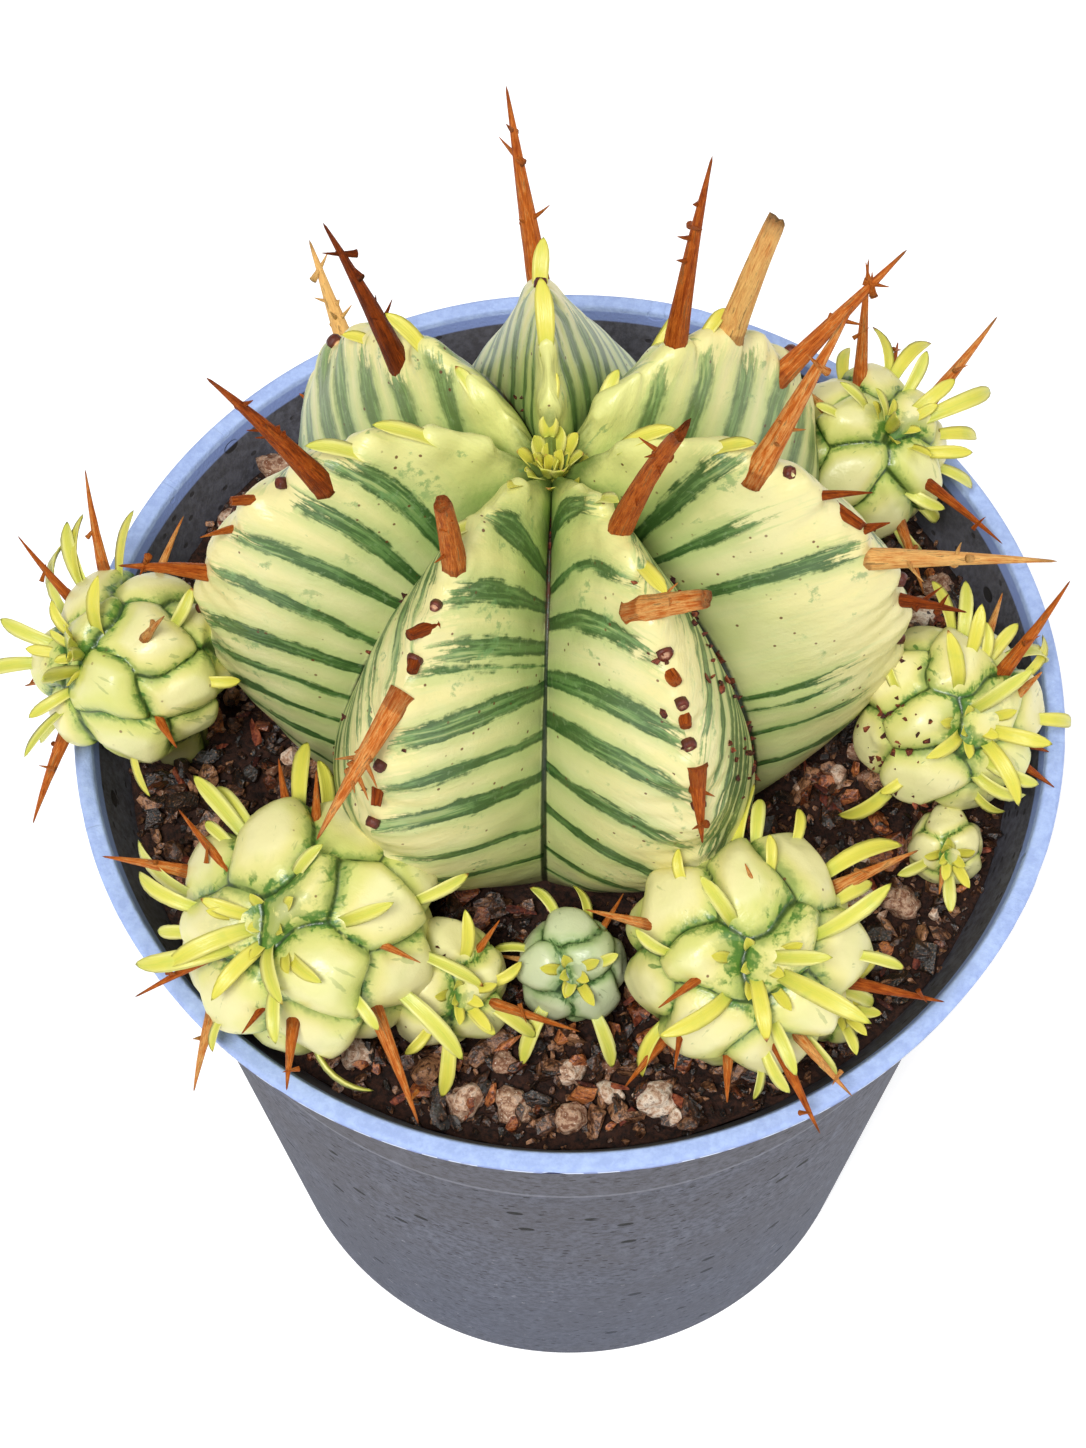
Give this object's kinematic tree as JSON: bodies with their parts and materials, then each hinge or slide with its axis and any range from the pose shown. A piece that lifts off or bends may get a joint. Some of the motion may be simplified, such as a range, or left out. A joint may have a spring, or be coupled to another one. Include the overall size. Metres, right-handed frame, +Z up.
{
  "type": "potted succulent plant",
  "caption": "Cream and green variegated melon spurge with a ribbed thorny stem and round offsets, in a tall round plastic nursery pot.",
  "frame": {"origin": "centre of the pot's underside, on the surface that it stands on", "axes": "+Z up along the pot's axis, +X to the right and +Y away from whoever looks at the front of the plant"},
  "size_m": [0.141, 0.13, 0.2145],
  "materials": {
    "pot_plastic": "satin blue-grey plastic with a fine mottle",
    "gritty_soil": null,
    "stem_skin": null,
    "offset_skin": null,
    "green_offset_skin": null
  },
  "bodies": {
    "root": {"pot": "pot_plastic", "soil": "gritty_soil", "main_stem": "stem_skin", "offset_left": "offset_skin", "offset_front_left": "offset_skin", "offset_front_left_lower": "offset_skin", "offset_green": "green_offset_skin", "offset_front_right": "offset_skin", "offset_front_right_lower": "offset_skin", "offset_right": "offset_skin", "offset_right_lower": "offset_skin", "offset_upper_right": "offset_skin"}
  },
  "joints": []
}
